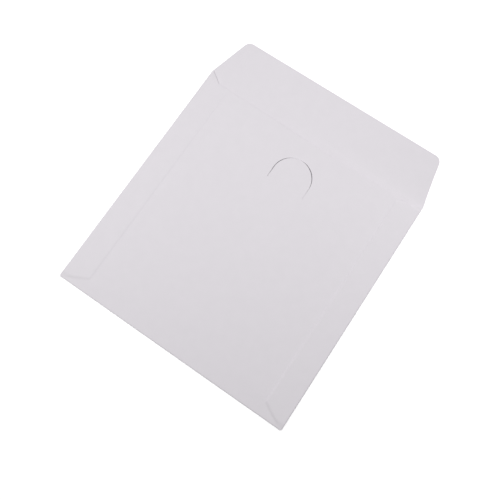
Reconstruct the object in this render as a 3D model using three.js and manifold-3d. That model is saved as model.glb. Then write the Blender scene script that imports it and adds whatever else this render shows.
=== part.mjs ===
// CD sleeve of folded white card, empty, lying on its back panel with the closure flap open.
// It is one die-cut blank: the closure flap, the back panel with a glue flap along each side, the
// bottom fold, and the front panel, which is glued down on the two glue flaps and stops short of
// the crease, so that its top edge is the pocket's mouth. A U-shaped slit in the front panel
// leaves a tongue, and the closure flap folds over the mouth and tucks in under it.
// Millimetres. X runs across the sleeve, Y from the bottom fold to the closure flap, and Z up from
// the surface it lies on. The origin is under the middle of the opened sleeve.

import * as THREE from "three";
import { mergeVertices } from "three/addons/utils/BufferGeometryUtils.js";
import Module from "manifold-3d";

// The folded body, over its folds
const sleeveWidth = 126;
const sleeveHeight = 127; // from the bottom fold to the crease of the closure flap

// The card and the two gaps that its folds leave
const cardThickness = 0.4;
const pocketGap = 0.35; // between the back panel and the front panel, at the bottom fold
const sideFoldGap = 0.3; // between the back panel and a glue flap, at a side fold

// Glue flaps, folded in along the sides
const glueFlapWidth = 12.9;
const glueFlapTaper = THREE.MathUtils.degToRad(28); // of its two ends, from square
const glueFlapCornerRadius = 2;

// Front panel
const mouthSetback = 4.85; // from the crease down to the mouth
const frontPanelInset = 0.4; // of its cut side edges from the side folds
const stepWidth = 2; // over which the panel comes down beside a glue flap

// Tongue, cut from the front panel by the slit and left joined along its root
const tongueWidth = 21;
const tongueBelowMouth = 9.1; // from the mouth down to the tongue's round tip
const tongueLegLength = 5.8; // straight part of the slit, from the root to the round tip
const tongueOffset = 0.8; // of the tongue from the middle of the panel
const slitWidth = 0.25;

// Closure flap, continuous with the back panel
const closureFlapLength = 23.3;
const closureFlapTaper = THREE.MathUtils.degToRad(15.2); // of each side
const closureFlapCornerRadius = 4;
const cornerLift = 6; // the flap's right-hand corner springs up off the surface
const liftCurve = 1.5; // above 1, the flap leaves the surface tangentially at its crease
const creaseWidth = 0.9;
const creaseDepth = 0.07;

// Drawing accuracy and the overlap of shapes that are joined
const arcSegments = 10;
const flapColumns = 16;
const flapRows = 6; // between the crease and the rounded corners
const joinOverlap = 1;

// Sizes that follow from the ones above
const halfWidth = sleeveWidth / 2;
const sideFoldRadius = cardThickness + sideFoldGap / 2;
const bottomFoldRadius = cardThickness + pocketGap / 2;
const glueFlapTop = 2 * sideFoldRadius;
const panelTop = 2 * bottomFoldRadius;
const panelUnderside = panelTop - cardThickness;
const raisedPanelTop = glueFlapTop + cardThickness;
const panelRise = raisedPanelTop - panelTop;
const mouthY = sleeveHeight - mouthSetback;
const panelEdgeX = halfWidth - sideFoldRadius - joinOverlap / 2; // where a side fold takes over
const panelEdgeY = bottomFoldRadius + joinOverlap / 2; // where the bottom fold takes over
const slitTipY = mouthY - tongueBelowMouth;
const slitArcRadius = tongueWidth / 2;
const slitArcY = slitTipY - slitArcRadius;
const slitRootY = slitArcY - tongueLegLength;

const cardColor = new THREE.Color("#e1dde2");

const wasm = await Module();
wasm.setup();

// A closed three.js geometry as a solid that can be joined and cut.
function solidOf(geometry) {
  const bare = geometry.clone();
  bare.deleteAttribute("normal");
  bare.deleteAttribute("uv");
  const merged = mergeVertices(bare, 1e-4);
  return new wasm.Manifold(
    new wasm.Mesh({
      numProp: 3,
      vertProperties: merged.attributes.position.array,
      triVerts: new Uint32Array(merged.index.array),
    }),
  );
}

// A joined or cut solid as a three.js geometry.
function geometryOf(solid) {
  const mesh = solid.getMesh();
  const positions = new THREE.BufferAttribute(mesh.vertProperties, mesh.numProp);
  const geometry = new THREE.BufferGeometry().setAttribute("position", positions);
  geometry.setIndex(new THREE.BufferAttribute(mesh.triVerts, 1));
  const faceted = geometry.toNonIndexed();
  faceted.computeVertexNormals();
  return faceted;
}

// A closed outline through corners given as [x, y, radius], each rounded by its own radius.
function roundedOutline(corners) {
  const shape = new THREE.Shape();
  corners.forEach(([x, y, radius = 0], i) => {
    const corner = new THREE.Vector2(x, y);
    const before = new THREE.Vector2(...corners.at(i - 1));
    const after = new THREE.Vector2(...corners[(i + 1) % corners.length]);
    const inward = before.sub(corner).normalize();
    const outward = after.sub(corner).normalize();
    if (radius > 0) {
      const halfAngle = Math.acos(inward.dot(outward)) / 2;
      const run = radius / Math.tan(halfAngle);
      const middle = inward.clone().add(outward).normalize();
      const centre = corner.clone().addScaledVector(middle, radius / Math.sin(halfAngle));
      const start = corner.clone().addScaledVector(inward, run).sub(centre);
      const end = corner.clone().addScaledVector(outward, run).sub(centre);
      const clockwise = inward.cross(outward) > 0;
      shape.absarc(centre.x, centre.y, radius, start.angle(), end.angle(), clockwise);
    } else if (i === 0) shape.moveTo(x, y);
    else shape.lineTo(x, y);
  });
  shape.closePath();
  return shape;
}

// A flat piece of the given plan outline between two heights.
function plate(shape, bottom, top) {
  const geometry = new THREE.ExtrudeGeometry(shape, {
    depth: top - bottom,
    bevelEnabled: false,
    curveSegments: arcSegments,
  });
  return geometry.translate(0, 0, bottom);
}

// A U-section of card round a fold: two legs one above the other, joined by a half tube whose
// outermost line is at 0. The profile is drawn in the plane of the section, first axis inwards.
function foldSection(radius, lowerLeg, upperLeg) {
  const inner = radius - cardThickness;
  const shape = new THREE.Shape();
  shape.moveTo(lowerLeg, 0);
  shape.lineTo(radius, 0);
  shape.absarc(radius, radius, radius, -Math.PI / 2, Math.PI / 2, true);
  shape.lineTo(upperLeg, 2 * radius);
  shape.lineTo(upperLeg, 2 * radius - cardThickness);
  shape.lineTo(radius, 2 * radius - cardThickness);
  shape.absarc(radius, radius, inner, Math.PI / 2, -Math.PI / 2, false);
  shape.lineTo(lowerLeg, cardThickness);
  shape.closePath();
  return shape;
}

// Plan outline of one glue flap, from its fold at x = 0 inwards, with both ends tapered from the
// sleeve's corners. It runs on outside the fold so that a cut along it leaves the fold whole.
function glueFlapOutline() {
  const taper = glueFlapWidth * Math.tan(glueFlapTaper);
  const outside = -2 * stepWidth - joinOverlap;
  return roundedOutline([
    [outside, 0],
    [0, 0],
    [glueFlapWidth, taper, glueFlapCornerRadius],
    [glueFlapWidth, sleeveHeight - taper, glueFlapCornerRadius],
    [0, sleeveHeight],
    [outside, sleeveHeight],
  ]);
}

// Moves what was drawn beside x = 0 to the left side of the sleeve, or mirrored to the right.
function atSide(solid, side) {
  if (side < 0) return solid.translate([-halfWidth, 0, 0]);
  return solid.mirror([1, 0, 0]).translate([halfWidth, 0, 0]);
}

// One side fold with its glue flap.
function glueFlap() {
  const section = foldSection(sideFoldRadius, sideFoldRadius + joinOverlap, glueFlapWidth);
  const length = new THREE.ExtrudeGeometry(section, {
    depth: sleeveHeight,
    bevelEnabled: false,
    curveSegments: arcSegments,
  });
  length.rotateX(Math.PI / 2).translate(0, sleeveHeight, 0);
  const cutter = plate(glueFlapOutline(), -joinOverlap, glueFlapTop + joinOverlap);
  return solidOf(length).intersect(solidOf(cutter));
}

// The back panel, between the folds and the start of the closure flap.
function backPanel() {
  const top = sleeveHeight - joinOverlap;
  const outline = roundedOutline([
    [-panelEdgeX, panelEdgeY],
    [panelEdgeX, panelEdgeY],
    [panelEdgeX, top],
    [-panelEdgeX, top],
  ]);
  return solidOf(plate(outline, 0, cardThickness));
}

// The closure flap's rows from its root to its tip, each as [y, half width]: the root inside the
// back panel, the crease across the full width, the tapered sides, and the rounded corners.
function closureFlapRows() {
  const slope = Math.tan(closureFlapTaper);
  const halfWidthAt = (y) => halfWidth - Math.max(0, y - sleeveHeight) * slope;
  const creaseEdge = creaseWidth / 2;
  const cornerY = sleeveHeight + closureFlapLength - closureFlapCornerRadius;
  const cornerX = halfWidthAt(cornerY) - closureFlapCornerRadius / Math.cos(closureFlapTaper);
  const arcStartY = cornerY + closureFlapCornerRadius * Math.sin(closureFlapTaper);
  const rows = [
    [sleeveHeight - 2 * joinOverlap, panelEdgeX],
    [sleeveHeight - creaseEdge, panelEdgeX + creaseEdge],
    [sleeveHeight, halfWidth],
  ];
  for (let i = 0; i < flapRows; i++) {
    const start = sleeveHeight + creaseEdge;
    const y = start + ((arcStartY - start) * i) / flapRows;
    rows.push([y, halfWidthAt(y)]);
  }
  for (let i = 0; i <= arcSegments; i++) {
    const angle = closureFlapTaper + ((Math.PI / 2 - closureFlapTaper) * i) / arcSegments;
    const x = cornerX + closureFlapCornerRadius * Math.cos(angle);
    rows.push([cornerY + closureFlapCornerRadius * Math.sin(angle), x]);
  }
  return rows;
}

// How far the closure flap has sprung up at a point: most at its right-hand corner.
function flapLift(x, y) {
  const across = (x + halfWidth) / sleeveWidth;
  const along = Math.max(0, y - sleeveHeight) / closureFlapLength;
  return cornerLift * across * along ** liftCurve;
}

// The closure flap, lofted row by row, with the shallow score of its crease in the inner face.
function closureFlap() {
  const rows = closureFlapRows();
  const perRow = flapColumns + 1;
  const positions = [];
  for (const face of ["lower", "upper"]) {
    for (const [y, half] of rows) {
      const scored = y === sleeveHeight ? creaseDepth : 0;
      const height = face === "upper" ? cardThickness - scored : 0;
      for (let i = 0; i <= flapColumns; i++) {
        const x = half * ((2 * i) / flapColumns - 1);
        positions.push(x, y, height + flapLift(x, y));
      }
    }
  }
  const upper = rows.length * perRow;
  const triangles = [];
  const quad = (a, b, c, d) => triangles.push(a, b, c, a, c, d);
  for (let row = 0; row < rows.length - 1; row++) {
    const left = row * perRow;
    const right = left + flapColumns;
    for (let i = left; i < right; i++) {
      quad(i, i + perRow, i + perRow + 1, i + 1);
      quad(upper + i, upper + i + 1, upper + i + perRow + 1, upper + i + perRow);
    }
    quad(left, upper + left, upper + left + perRow, left + perRow);
    quad(right, right + perRow, upper + right + perRow, upper + right);
  }
  const tip = (rows.length - 1) * perRow;
  for (let i = 0; i < flapColumns; i++) {
    quad(i, i + 1, upper + i + 1, upper + i);
    quad(tip + i + 1, tip + i, upper + tip + i, upper + tip + i + 1);
  }
  const geometry = new THREE.BufferGeometry();
  geometry.setAttribute("position", new THREE.Float32BufferAttribute(positions, 3));
  return solidOf(geometry.setIndex(triangles));
}

// A section drawn in Y and Z, extruded along X to the same distance on both sides.
function acrossSleeve(section, halfLength) {
  const geometry = new THREE.ExtrudeGeometry(section, {
    depth: 2 * halfLength,
    bevelEnabled: false,
    curveSegments: arcSegments,
  });
  const axes = new THREE.Matrix4().makeBasis(
    new THREE.Vector3(0, 1, 0),
    new THREE.Vector3(0, 0, 1),
    new THREE.Vector3(1, 0, 0),
  );
  return geometry.applyMatrix4(axes).translate(-halfLength, 0, 0);
}

// The fold along the bottom, from the back panel round to the front panel.
function bottomFold() {
  const leg = bottomFoldRadius + joinOverlap;
  const section = foldSection(bottomFoldRadius, leg, leg);
  return solidOf(acrossSleeve(section, halfWidth - frontPanelInset));
}

// Plan outline of the front panel, between the bottom fold and the mouth.
function frontPanelOutline() {
  const side = halfWidth - frontPanelInset;
  return roundedOutline([
    [-side, bottomFoldRadius],
    [side, bottomFoldRadius],
    [side, mouthY],
    [-side, mouthY],
  ]);
}

// The stretch of front panel that lies on a glue flap, raised by the flap's thickness, with the
// slope by which the panel comes down beside it. The slope runs on into the panel's own card.
function raisedStrip() {
  const sunk = cardThickness / 4;
  const geometry = new THREE.ExtrudeGeometry(glueFlapOutline(), {
    depth: sunk,
    bevelThickness: panelRise + sunk,
    bevelSize: (stepWidth * (panelRise + sunk)) / panelRise,
    bevelOffset: -stepWidth / 2,
    bevelSegments: 1,
    curveSegments: arcSegments,
  });
  geometry.translate(0, 0, panelTop - 2 * sunk);
  return solidOf(geometry);
}

// The slit round the tongue: a narrow U of even width through the front panel alone.
function tongueSlit() {
  const half = slitWidth / 2;
  const outer = slitArcRadius + half;
  const inner = slitArcRadius - half;
  const shape = new THREE.Shape();
  shape.moveTo(tongueOffset + outer, slitRootY);
  shape.absarc(tongueOffset, slitArcY, outer, 0, Math.PI, false);
  shape.lineTo(tongueOffset - outer, slitRootY);
  shape.lineTo(tongueOffset - inner, slitRootY);
  shape.absarc(tongueOffset, slitArcY, inner, Math.PI, 0, true);
  shape.lineTo(tongueOffset + inner, slitRootY);
  shape.closePath();
  const underPanel = cardThickness + pocketGap / 2;
  return solidOf(plate(shape, underPanel, raisedPanelTop + joinOverlap));
}

// The front panel: a flat sheet, raised over both glue flaps and cut to its outline.
function frontPanel() {
  const outline = frontPanelOutline();
  const cutter = solidOf(plate(outline, panelUnderside, raisedPanelTop + joinOverlap));
  let panel = solidOf(plate(outline, panelUnderside, panelTop));
  for (const side of [-1, 1]) {
    panel = panel.add(atSide(raisedStrip(), side).intersect(cutter));
  }
  return panel.subtract(tongueSlit());
}

function foldedCardSleeve() {
  let sleeve = backPanel().add(closureFlap()).add(bottomFold()).add(frontPanel());
  for (const side of [-1, 1]) {
    sleeve = sleeve.add(atSide(glueFlap(), side));
  }
  const card = new THREE.MeshStandardMaterial({
    color: cardColor,
    roughness: 0.85,
    metalness: 0,
  });
  const mesh = new THREE.Mesh(geometryOf(sleeve), card);
  mesh.name = "folded_card_sleeve";
  return mesh;
}

const cdSleeve = new THREE.Group();
cdSleeve.add(foldedCardSleeve());
cdSleeve.position.y = -(sleeveHeight + closureFlapLength) / 2;

export default cdSleeve;
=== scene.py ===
import math

import bmesh
import bpy
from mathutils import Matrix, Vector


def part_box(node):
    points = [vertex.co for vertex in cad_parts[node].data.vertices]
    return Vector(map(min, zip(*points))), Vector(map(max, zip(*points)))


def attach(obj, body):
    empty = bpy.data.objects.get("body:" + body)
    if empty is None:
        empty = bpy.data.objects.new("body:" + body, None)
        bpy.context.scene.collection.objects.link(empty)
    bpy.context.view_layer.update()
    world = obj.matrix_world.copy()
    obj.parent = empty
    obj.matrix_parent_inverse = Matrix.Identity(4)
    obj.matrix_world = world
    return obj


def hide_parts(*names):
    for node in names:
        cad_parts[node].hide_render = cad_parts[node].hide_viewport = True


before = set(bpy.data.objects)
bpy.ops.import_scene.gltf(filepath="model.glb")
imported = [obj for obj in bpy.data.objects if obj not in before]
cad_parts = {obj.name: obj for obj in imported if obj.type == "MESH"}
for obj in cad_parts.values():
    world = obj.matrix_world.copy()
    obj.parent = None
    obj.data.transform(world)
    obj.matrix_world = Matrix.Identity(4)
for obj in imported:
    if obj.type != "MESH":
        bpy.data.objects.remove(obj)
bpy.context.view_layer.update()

MM = 0.001

# Camera
# The sleeve is seen from about 80 degrees above the table, from its lower right-hand side and
# about 0.22 m away, so that its sides run up to the right and its nearer corner points down.
CAMERA_PLACE = (17.91 * MM, -42.4 * MM, 214.61 * MM)
CAMERA_TURN_DEGREES = (8.206, -1.277, 34.191)
CAMERA_LENS_MM = 32.4
CAMERA_SENSOR_MM = 36
CAMERA_NEAREST = 10 * MM

bpy.ops.object.camera_add(
    location=CAMERA_PLACE,
    rotation=[math.radians(angle) for angle in CAMERA_TURN_DEGREES],
)
camera = bpy.context.object
camera.data.lens = CAMERA_LENS_MM
camera.data.sensor_width = CAMERA_SENSOR_MM
camera.data.clip_start = CAMERA_NEAREST
bpy.context.scene.camera = camera

# Table and light
# The sleeve lies on a plain white table, and its own thin shadow shows on it. Two soft lamps
# hang over its upper right and its left, so that the light falls off towards the lower
# right-hand corner, and the room is pale.
TABLE_SIZE = 4.0
TABLE_COLOUR = "#fafafa"
TABLE_ROUGHNESS = 0.9
TABLE_SPECULAR = 0.2
TABLE_BELOW_CARD = 0.02 * MM
# Each lamp: its name, its place in metres, the side of its square in metres, its power in watts.
LAMPS = (
    ("lamp_left", (-0.22, -0.078, 0.28), 0.10, 0.516),
    ("lamp_right", (0.12, 0.166, 0.28), 0.30, 0.696),
)
ROOM_LIGHT = 0.291
# The table's own faint glow makes it quite white, and lights little more than the sleeve's rims.
TABLE_GLOW = 0.35


def linear(hex_colour, alpha=1.0):
    """An sRGB hex colour as linear RGBA."""
    parts = [int(hex_colour[i : i + 2], 16) / 255 for i in (1, 3, 5)]
    channels = [p / 12.92 if p <= 0.04045 else ((p + 0.055) / 1.055) ** 2.4 for p in parts]
    return (*channels, alpha)


def add_node(material, kind, settings=None, inputs=None):
    """Adds one node, sets its properties, and sets or links its inputs."""
    node = material.node_tree.nodes.new(kind)
    for name, value in (settings or {}).items():
        setattr(node, name, value)
    for name, value in (inputs or {}).items():
        if isinstance(value, bpy.types.NodeSocket):
            material.node_tree.links.new(value, node.inputs[name])
        else:
            node.inputs[name].default_value = value
    return node


def new_material(name):
    """An empty node material and its output node."""
    material = bpy.data.materials.new(name)
    material.use_nodes = True
    material.node_tree.nodes.clear()
    return material, add_node(material, "ShaderNodeOutputMaterial")


table_white, output = new_material("table_white")
surface = add_node(
    table_white,
    "ShaderNodeBsdfPrincipled",
    None,
    {
        "Base Color": linear(TABLE_COLOUR),
        "Roughness": TABLE_ROUGHNESS,
        "Specular IOR Level": TABLE_SPECULAR,
        "Emission Color": (1, 1, 1, 1),
        "Emission Strength": TABLE_GLOW,
    },
)
table_white.node_tree.links.new(surface.outputs[0], output.inputs["Surface"])

bpy.ops.mesh.primitive_plane_add(size=TABLE_SIZE, location=(0, 0, -TABLE_BELOW_CARD))
table = bpy.context.object
table.name = "table"
table.data.materials.append(table_white)

for name, lamp_place, side_length, watts in LAMPS:
    bpy.ops.object.light_add(type="AREA", location=lamp_place)
    lamp = bpy.context.object
    lamp.name = name
    lamp.data.shape = "SQUARE"
    lamp.data.size = side_length
    lamp.data.energy = watts
    lamp.rotation_euler = (-lamp.location).to_track_quat("-Z", "Y").to_euler()

room = bpy.data.worlds.new("pale_room")
room.use_nodes = True
room.node_tree.nodes["Background"].inputs["Color"].default_value = (1, 1, 1, 1)
room.node_tree.nodes["Background"].inputs["Strength"].default_value = ROOM_LIGHT
bpy.context.scene.world = room
bpy.context.scene.view_settings.view_transform = "Standard"

# White card
# Folding boxboard of about 300 g/m2: bleached fibre with a thin matt coating, machine-finished.
# It reads as smooth and slightly lavender white, with a faint cloudiness where the fibres lie
# unevenly, and a soft fine tooth that only shows when the light rakes over it.
CARD_COLOUR = "#e3dfe4"
CARD_CLOUD_COLOUR = "#dfdbe0"
CARD_CLOUD_MM = 5.0
CARD_FIBRE_MM = 0.5
CARD_TOOTH_MM = 0.02
CARD_TOOTH_STRENGTH = 0.15
CARD_ROUGHNESS = 0.82
CARD_SPECULAR = 0.3
CARD_IOR = 1.45

white_card, output = new_material("matt_white_boxboard")
place = add_node(white_card, "ShaderNodeTexCoord").outputs["Object"]
clouds = add_node(
    white_card,
    "ShaderNodeTexNoise",
    None,
    {"Vector": place, "Scale": 1 / (CARD_CLOUD_MM * MM), "Detail": 3, "Roughness": 0.6},
)
fibres = add_node(
    white_card,
    "ShaderNodeTexNoise",
    None,
    {"Vector": place, "Scale": 1 / (CARD_FIBRE_MM * MM), "Detail": 2, "Roughness": 0.5},
)
colour = add_node(
    white_card,
    "ShaderNodeMix",
    {"data_type": "RGBA"},
    {0: clouds.outputs["Fac"], 6: linear(CARD_CLOUD_COLOUR), 7: linear(CARD_COLOUR)},
)
tooth = add_node(
    white_card,
    "ShaderNodeBump",
    None,
    {
        "Height": fibres.outputs["Fac"],
        "Strength": CARD_TOOTH_STRENGTH,
        "Distance": CARD_TOOTH_MM * MM,
    },
)
surface = add_node(
    white_card,
    "ShaderNodeBsdfPrincipled",
    None,
    {
        "Base Color": colour.outputs[2],
        "Roughness": CARD_ROUGHNESS,
        "IOR": CARD_IOR,
        "Specular IOR Level": CARD_SPECULAR,
        "Normal": tooth.outputs[0],
    },
)
white_card.node_tree.links.new(surface.outputs[0], output.inputs["Surface"])

# Back panel
# The middle of the die-cut blank: one flat sheet of card, 126 mm across with its folds. The
# sheet is drawn as its outer face, which is the underside here, and gets its thickness once all
# of it is folded.
CARD_THICKNESS = 0.4 * MM
POCKET_GAP = 0.35 * MM
SIDE_FOLD_GAP = 0.3 * MM
SLEEVE_HEIGHT = 127 * MM
MOUTH_SETBACK = 4.85 * MM
FLAP_LENGTH = 23.3 * MM
sleeve_low, sleeve_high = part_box("folded_card_sleeve")
HALF_WIDTH = sleeve_high[0]
BOTTOM_Y = sleeve_low[1]
CREASE_Y = BOTTOM_Y + SLEEVE_HEIGHT
SIDE_FOLD_RADIUS = CARD_THICKNESS + SIDE_FOLD_GAP / 2
BOTTOM_FOLD_RADIUS = CARD_THICKNESS + POCKET_GAP / 2
PANEL_HALF_WIDTH = HALF_WIDTH - SIDE_FOLD_RADIUS
PANEL_BOTTOM_Y = BOTTOM_Y + BOTTOM_FOLD_RADIUS
PANEL_TOP_Y = CREASE_Y - SIDE_FOLD_RADIUS
MOUTH_Y = CREASE_Y - MOUTH_SETBACK

# Beside a glue flap the front panel steps down over about a millimetre, so the sheet has close
# columns there and wide ones elsewhere.
GLUE_FLAP_WIDTH = 13.0 * MM
STEP_WIDTH = 1.0 * MM
STEP_COLUMNS = 10
STRIP_COLUMNS = 20
WIDE_COLUMNS = 33
FLAP_END_ROW_BELOW_MOUTH = 8 * MM
TOLERANCE = 0.01 * MM


def spread(start, end, count):
    """Evenly spaced values from start to end, both included."""
    return [start + (end - start) * i / count for i in range(count + 1)]


def select_in_edit_mode(piece, chosen):
    """Selects the vertices that chosen(co) accepts, and the edges and faces between them."""
    bpy.ops.mesh.select_mode(type="VERT")
    bpy.ops.mesh.select_all(action="DESELECT")
    mesh = bmesh.from_edit_mesh(piece.data)
    for vertex in mesh.verts:
        vertex.select_set(chosen(vertex.co))
    mesh.select_flush(True)
    bmesh.update_edit_mesh(piece.data)


def near(a, b):
    return abs(a - b) < TOLERANCE


bpy.ops.object.select_all(action="DESELECT")
bpy.ops.mesh.primitive_plane_add(size=2, location=(0, 0, 0))
card = bpy.context.object
card.name = "sleeve_card"
bpy.ops.object.mode_set(mode="EDIT")
half_height = (PANEL_TOP_Y - PANEL_BOTTOM_Y) / 2
bpy.ops.transform.resize(value=(PANEL_HALF_WIDTH, half_height, 1))
bpy.ops.transform.translate(value=(0, PANEL_BOTTOM_Y + half_height, 0))
step_middle = HALF_WIDTH - GLUE_FLAP_WIDTH
side_columns = spread(step_middle - STEP_WIDTH, step_middle + STEP_WIDTH, STEP_COLUMNS)
side_columns += spread(side_columns[-1], PANEL_HALF_WIDTH, STRIP_COLUMNS)[1:-1]
columns = spread(-side_columns[0], side_columns[0], WIDE_COLUMNS)[1:-1]
columns += [side * x for side in (-1, 1) for x in side_columns]
for x in columns:
    bpy.ops.mesh.select_all(action="SELECT")
    bpy.ops.mesh.bisect(plane_co=(x, 0, 0), plane_no=(1, 0, 0))
bpy.ops.mesh.select_all(action="SELECT")
bpy.ops.mesh.bisect(plane_co=(0, MOUTH_Y - FLAP_END_ROW_BELOW_MOUTH, 0), plane_no=(0, 1, 0))

# Closure flap
# It is the same sheet, running on from the back panel past the crease. Its sides taper, its two
# tip corners are round, and it has sprung up a little, most at its right-hand corner.
FLAP_TAPER = math.radians(15.2)
FLAP_CORNER_RADIUS = 4 * MM
FLAP_LIFT = 6 * MM
FLAP_LIFT_CURVE = 1.5
FLAP_ROWS = 10
FLAP_CORNER_ROWS = 10
CREASE_HALF_WIDTH = 0.45 * MM


def flap_rows():
    """The flap's rows as (y, half width), from just above the back panel to the tip."""
    slope = math.tan(FLAP_TAPER)
    corner_y = CREASE_Y + FLAP_LENGTH - FLAP_CORNER_RADIUS
    corner_x = HALF_WIDTH - (corner_y - CREASE_Y) * slope - FLAP_CORNER_RADIUS / math.cos(FLAP_TAPER)
    arc_start = corner_y + FLAP_CORNER_RADIUS * math.sin(FLAP_TAPER)
    straight = spread(CREASE_Y + CREASE_HALF_WIDTH, arc_start, FLAP_ROWS)[:-1]
    rows = [(y, HALF_WIDTH - (y - CREASE_Y) * slope) for y in straight]
    for angle in spread(FLAP_TAPER, math.pi / 2, FLAP_CORNER_ROWS):
        y = corner_y + FLAP_CORNER_RADIUS * math.sin(angle)
        rows.append((y, corner_x + FLAP_CORNER_RADIUS * math.cos(angle)))
    return rows


def extrude_row(move, widen=1.0):
    """Extrudes the selected edges by a move and widens the new row about the middle."""
    bpy.ops.mesh.extrude_region_move(TRANSFORM_OT_translate={"value": move})
    if widen != 1.0:
        bpy.ops.transform.resize(value=(widen, 1, 1))


select_in_edit_mode(card, lambda co: near(co.y, PANEL_TOP_Y))
row_y, row_half = PANEL_TOP_Y, PANEL_HALF_WIDTH
for y, half in [(CREASE_Y, HALF_WIDTH), *flap_rows()]:
    extrude_row((0, y - row_y, 0), half / row_half)
    row_y, row_half = y, half
for vertex in bmesh.from_edit_mesh(card.data).verts:
    across = (vertex.co.x + HALF_WIDTH) / (2 * HALF_WIDTH)
    along = max(0, vertex.co.y - CREASE_Y) / FLAP_LENGTH
    vertex.co.z += FLAP_LIFT * across * along**FLAP_LIFT_CURVE

# Side folds and glue flaps
# Each side of the back panel is folded up and over through half a turn, and ends in a narrow
# flap with tapered ends, which lies inside the sleeve and is glued under the front panel. The
# left-hand flap ends a little lower at the top.
GLUE_FLAP_TAPER = math.radians(28)
GLUE_FLAP_CORNER_RADIUS = 2 * MM
GLUE_FLAP_CORNER_STEPS = 6
LEFT_END_LOWER = 1.6 * MM
FOLD_STEPS = 8
GLUE_LINE = 0.02 * MM
glue_flap_top = 2 * SIDE_FOLD_RADIUS

for side in (-1, 1):
    edge_x = side * PANEL_HALF_WIDTH
    select_in_edit_mode(card, lambda co: near(co.x, edge_x) and co.y < PANEL_TOP_Y + TOLERANCE)
    bpy.ops.mesh.spin(
        steps=FOLD_STEPS,
        angle=side * math.pi,
        center=(edge_x, 0, SIDE_FOLD_RADIUS),
        axis=(0, 1, 0),
    )
    extrude_row((-side * (GLUE_FLAP_WIDTH - SIDE_FOLD_RADIUS), 0, 0))
    flap_edge_x = side * (HALF_WIDTH - GLUE_FLAP_WIDTH)
    taper = (GLUE_FLAP_WIDTH - SIDE_FOLD_RADIUS) * math.tan(GLUE_FLAP_TAPER)
    upper_taper = taper + (LEFT_END_LOWER if side < 0 else 0)
    for vertex in bmesh.from_edit_mesh(card.data).verts:
        if vertex.select and near(vertex.co.y, PANEL_BOTTOM_Y):
            vertex.co.y += taper
        if vertex.select and near(vertex.co.y, PANEL_TOP_Y):
            vertex.co.y -= upper_taper
    select_in_edit_mode(card, lambda co: near(co.x, flap_edge_x) and near(co.z, glue_flap_top))
    bpy.ops.mesh.bevel(
        offset=GLUE_FLAP_CORNER_RADIUS * math.tan((math.pi / 2 - GLUE_FLAP_TAPER) / 2),
        segments=GLUE_FLAP_CORNER_STEPS,
        affect="VERTICES",
    )

# At the mouth nothing holds the two flaps up, and their ends lie down on the back panel.
END_DROP = SIDE_FOLD_GAP - GLUE_LINE
END_DROP_BELOW_MOUTH = 5 * MM
END_DROP_PAST_FOLD = 2 * MM

for vertex in bmesh.from_edit_mesh(card.data).verts:
    near_mouth = MOUTH_Y - END_DROP_BELOW_MOUTH < vertex.co.y < CREASE_Y
    past_fold = HALF_WIDTH - abs(vertex.co.x) > END_DROP_PAST_FOLD
    if near(vertex.co.z, glue_flap_top) and near_mouth and past_fold:
        vertex.co.z -= END_DROP

# Bottom fold and front panel
# The other end of the blank is folded up through half a turn at the bottom and lies back over
# the pocket. It stops short of the crease, and that edge is the pocket's mouth.
PANEL_ROW = 3.0 * MM
CHAMFER_ROW = 0.5 * MM
panel_top = 2 * BOTTOM_FOLD_RADIUS
chamfer_height = GLUE_FLAP_WIDTH * math.tan(GLUE_FLAP_TAPER) + STEP_WIDTH


def panel_rows():
    """The front panel's rows in y: close beside the glue flaps' tapered ends, wide between."""
    low_end = BOTTOM_Y + chamfer_height
    high_start = CREASE_Y - chamfer_height
    close_low = math.ceil((low_end - PANEL_BOTTOM_Y) / CHAMFER_ROW)
    wide = math.ceil((high_start - low_end) / PANEL_ROW)
    close_high = math.ceil((MOUTH_Y - high_start) / CHAMFER_ROW)
    rows = spread(PANEL_BOTTOM_Y, low_end, close_low)[1:]
    rows += spread(low_end, high_start, wide)[1:]
    return rows + spread(high_start, MOUTH_Y, close_high)[1:]


select_in_edit_mode(card, lambda co: near(co.y, PANEL_BOTTOM_Y) and near(co.z, 0))
bpy.ops.mesh.spin(
    steps=FOLD_STEPS,
    angle=math.pi,
    center=(0, PANEL_BOTTOM_Y, BOTTOM_FOLD_RADIUS),
    axis=(1, 0, 0),
)
row_y = PANEL_BOTTOM_Y
for y in panel_rows():
    extrude_row((0, y - row_y, 0))
    row_y = y

# A new plane faces up, and the back panel's outer face is its underside, so the sheet is turned
# to face outwards all the way round.
bpy.ops.mesh.select_all(action="SELECT")
bpy.ops.mesh.flip_normals()
bpy.ops.object.mode_set(mode="OBJECT")

# Where the front panel lies on a glue flap it stands one card thickness higher, and it comes
# down beside the flap in a soft slope.
panel_rise = glue_flap_top + CARD_THICKNESS + GLUE_LINE - panel_top


def inside_glue_flap(x, y):
    """How far a point lies inside the outline of the nearer glue flap, negative outside."""
    from_side = HALF_WIDTH - abs(x)
    from_end = min(y - BOTTOM_Y, CREASE_Y - y)
    past_taper = (from_end - from_side * math.tan(GLUE_FLAP_TAPER)) * math.cos(GLUE_FLAP_TAPER)
    return min(GLUE_FLAP_WIDTH - from_side, past_taper)


def smooth_step(t):
    """Goes softly from 0 to 1 as t does."""
    t = min(1, max(0, t))
    return t * t * (3 - 2 * t)


# The card is stiff. Beside the left-hand flap it comes down most of the way in the step, and the
# rest in a slow sinking towards the middle. Beside the right-hand flap the step takes it all the
# way. At the bottom fold the panel starts flat, and rises over the flaps just above it.
STEP_SHARES = {-1: 0.62, 1: 1.0}
SINKING_WIDTH = 16 * MM
SINKING_HEIGHT = 7 * MM
CORNER_HEIGHT = 3 * MM

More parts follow.
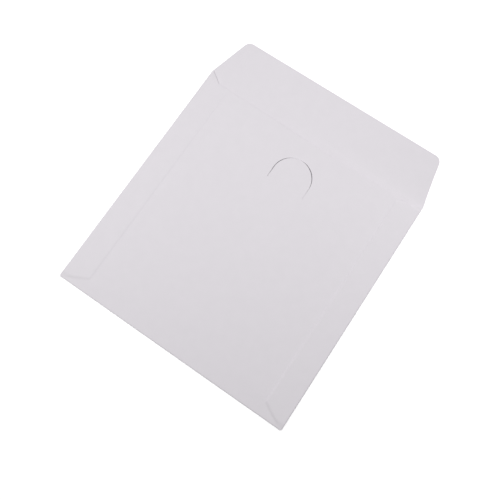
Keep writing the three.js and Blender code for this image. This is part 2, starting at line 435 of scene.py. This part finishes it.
for vertex in card.data.vertices:
    if near(vertex.co.z, panel_top):
        reach = inside_glue_flap(vertex.co.x, vertex.co.y)
        step = smooth_step(reach / STEP_WIDTH + 0.5)
        past_fold = smooth_step((vertex.co.y - PANEL_BOTTOM_Y) / SINKING_HEIGHT)
        sinking = past_fold * smooth_step(1 + min(0, reach) / SINKING_WIDTH)
        slow_share = 1 - STEP_SHARES[1 if vertex.co.x > 0 else -1]
        share = step + (1 - step) * slow_share * sinking
        from_corner = smooth_step((vertex.co.y - PANEL_BOTTOM_Y) / CORNER_HEIGHT)
        vertex.co.z += panel_rise * share * from_corner

# The mouth gapes a little between the glue flaps, and its cut runs up slightly to the right.
MOUTH_GAPE = 0.4 * MM
MOUTH_SLANT = 1.2 * MM
MOUTH_ZONE = 14 * MM
SLANT_END_X = 45 * MM

for vertex in card.data.vertices:
    x, y, z = vertex.co
    if z > panel_top - TOLERANCE and MOUTH_Y - MOUTH_ZONE < y < MOUTH_Y + TOLERANCE:
        share = (y - MOUTH_Y + MOUTH_ZONE) / MOUTH_ZONE
        between_flaps = smooth_step((step_middle - abs(x)) / SINKING_WIDTH)
        vertex.co.z += MOUTH_GAPE * share**2 * between_flaps
        vertex.co.y += MOUTH_SLANT * share * smooth_step(x / SLANT_END_X)


def apply_modifier(piece, kind, **settings):
    """Adds a modifier with its settings and applies it."""
    bpy.ops.object.select_all(action="DESELECT")
    piece.select_set(True)
    bpy.context.view_layer.objects.active = piece
    modifier = piece.modifiers.new(kind.title(), kind)
    for name, value in settings.items():
        setattr(modifier, name, value)
    bpy.ops.object.modifier_apply(modifier=modifier.name)


# The whole sheet is now given the card's thickness inwards, and its cut edges lose their
# sharpness, as the die leaves them.
CUT_EDGE_ROUND = 0.02 * MM
CUT_EDGE_STEPS = 2
CUT_EDGE_ANGLE = math.radians(60)

apply_modifier(card, "SOLIDIFY", thickness=CARD_THICKNESS, offset=-1, use_even_offset=True)
apply_modifier(
    card,
    "BEVEL",
    width=CUT_EDGE_ROUND,
    segments=CUT_EDGE_STEPS,
    limit_method="ANGLE",
    angle_limit=CUT_EDGE_ANGLE,
)

# Tongue
# A U-shaped slit through the front panel alone frees a tongue with a round tip, for the closure
# flap to tuck in under. The slit is cut by a blade bent to the same U.
TONGUE_RADIUS = 10.26 * MM
TONGUE_BELOW_MOUTH = 10.0 * MM
TONGUE_LEG = 5.85 * MM
TONGUE_OFFSET = 1.12 * MM
SLIT_WIDTH = 0.25 * MM
BLADE_HEIGHT = 3 * MM
ARC_STEPS = 40
TONGUE_LIFT = 0.42 * MM
arc_y = MOUTH_Y - TONGUE_BELOW_MOUTH - TONGUE_RADIUS
root_y = arc_y - TONGUE_LEG
blade_low = CARD_THICKNESS + POCKET_GAP / 2

bpy.ops.object.select_all(action="DESELECT")
bpy.ops.mesh.primitive_plane_add(size=1, location=(0, 0, 0), rotation=(math.pi / 2, 0, 0))
blade = bpy.context.object
bpy.ops.object.transform_apply(location=False, rotation=True, scale=False)
bpy.ops.object.mode_set(mode="EDIT")
bpy.ops.transform.resize(value=(SLIT_WIDTH, 1, BLADE_HEIGHT))
blade_x = TONGUE_OFFSET + TONGUE_RADIUS
bpy.ops.transform.translate(value=(blade_x, root_y, blade_low + BLADE_HEIGHT / 2))
bpy.ops.mesh.extrude_region_move(TRANSFORM_OT_translate={"value": (0, TONGUE_LEG, 0)})
bpy.ops.mesh.spin(
    steps=ARC_STEPS,
    angle=-math.pi,
    center=(TONGUE_OFFSET, arc_y, 0),
    axis=(0, 0, 1),
)
bpy.ops.mesh.extrude_region_move(TRANSFORM_OT_translate={"value": (0, -TONGUE_LEG, 0)})
bpy.ops.mesh.select_all(action="SELECT")
bpy.ops.mesh.normals_make_consistent(inside=False)
bpy.ops.object.mode_set(mode="OBJECT")

# The slit gapes unevenly since the tongue was bent up and has gone back: widest on the right of
# the round tip and on the left, and nearly shut along the right-hand leg. Its places are given
# as degrees round the tip, and the two legs run on from 0 to -30 and from 180 to 210.
LEG_DEGREES = 30
SLIT_GAPE = (
    (-LEG_DEGREES, 0.06 * MM),
    (0, 0.09 * MM),
    (15, 0.22 * MM),
    (45, 0.5 * MM),
    (75, 0.38 * MM),
    (90, 0.22 * MM),
    (102, 0.17 * MM),
    (120, 0.2 * MM),
    (150, 0.38 * MM),
    (180, 0.38 * MM),
    (180 + LEG_DEGREES, 0.08 * MM),
)


def slit_gape(x, y):
    """The slit's width beside a point on it."""
    place = math.degrees(math.atan2(max(0, y - arc_y), x - TONGUE_OFFSET))
    along_leg = LEG_DEGREES * max(0, arc_y - y) / TONGUE_LEG
    place += along_leg if x < TONGUE_OFFSET else -along_leg
    for (start, width), (end, next_width) in zip(SLIT_GAPE, SLIT_GAPE[1:]):
        if place <= end:
            return width + (next_width - width) * max(0, place - start) / (end - start)
    return SLIT_GAPE[-1][1]


for vertex in blade.data.vertices:
    from_x = vertex.co.x - TONGUE_OFFSET
    from_y = max(0, vertex.co.y - arc_y)
    reach = math.hypot(from_x, from_y)
    wanted = (reach - TONGUE_RADIUS) * slit_gape(vertex.co.x, vertex.co.y) / SLIT_WIDTH
    stretch = (TONGUE_RADIUS + wanted) / reach
    vertex.co.x = TONGUE_OFFSET + from_x * stretch
    vertex.co.y += from_y * (stretch - 1)

apply_modifier(card, "BOOLEAN", object=blade, operation="DIFFERENCE", solver="EXACT")
bpy.data.objects.remove(blade)

# The tongue has kept a slight upward bend, most at its tip.
for vertex in card.data.vertices:
    x, y, z = vertex.co
    in_tongue = math.hypot(x - TONGUE_OFFSET, max(0, y - arc_y)) < TONGUE_RADIUS
    if in_tongue and y > root_y and z > blade_low:
        vertex.co.z += TONGUE_LIFT * ((y - root_y) / (TONGUE_LEG + TONGUE_RADIUS)) ** 2

# Finished sleeve
# The folded sheet is one piece of the white card. It is smooth across its folds and its relief,
# and its cut edges stay crisp.
SMOOTH_ANGLE = math.radians(40)

bpy.ops.object.select_all(action="DESELECT")
card.select_set(True)
bpy.context.view_layer.objects.active = card
bpy.ops.object.shade_smooth_by_angle(angle=SMOOTH_ANGLE)
card.data.materials.append(white_card)
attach(card, "root")
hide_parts("folded_card_sleeve")
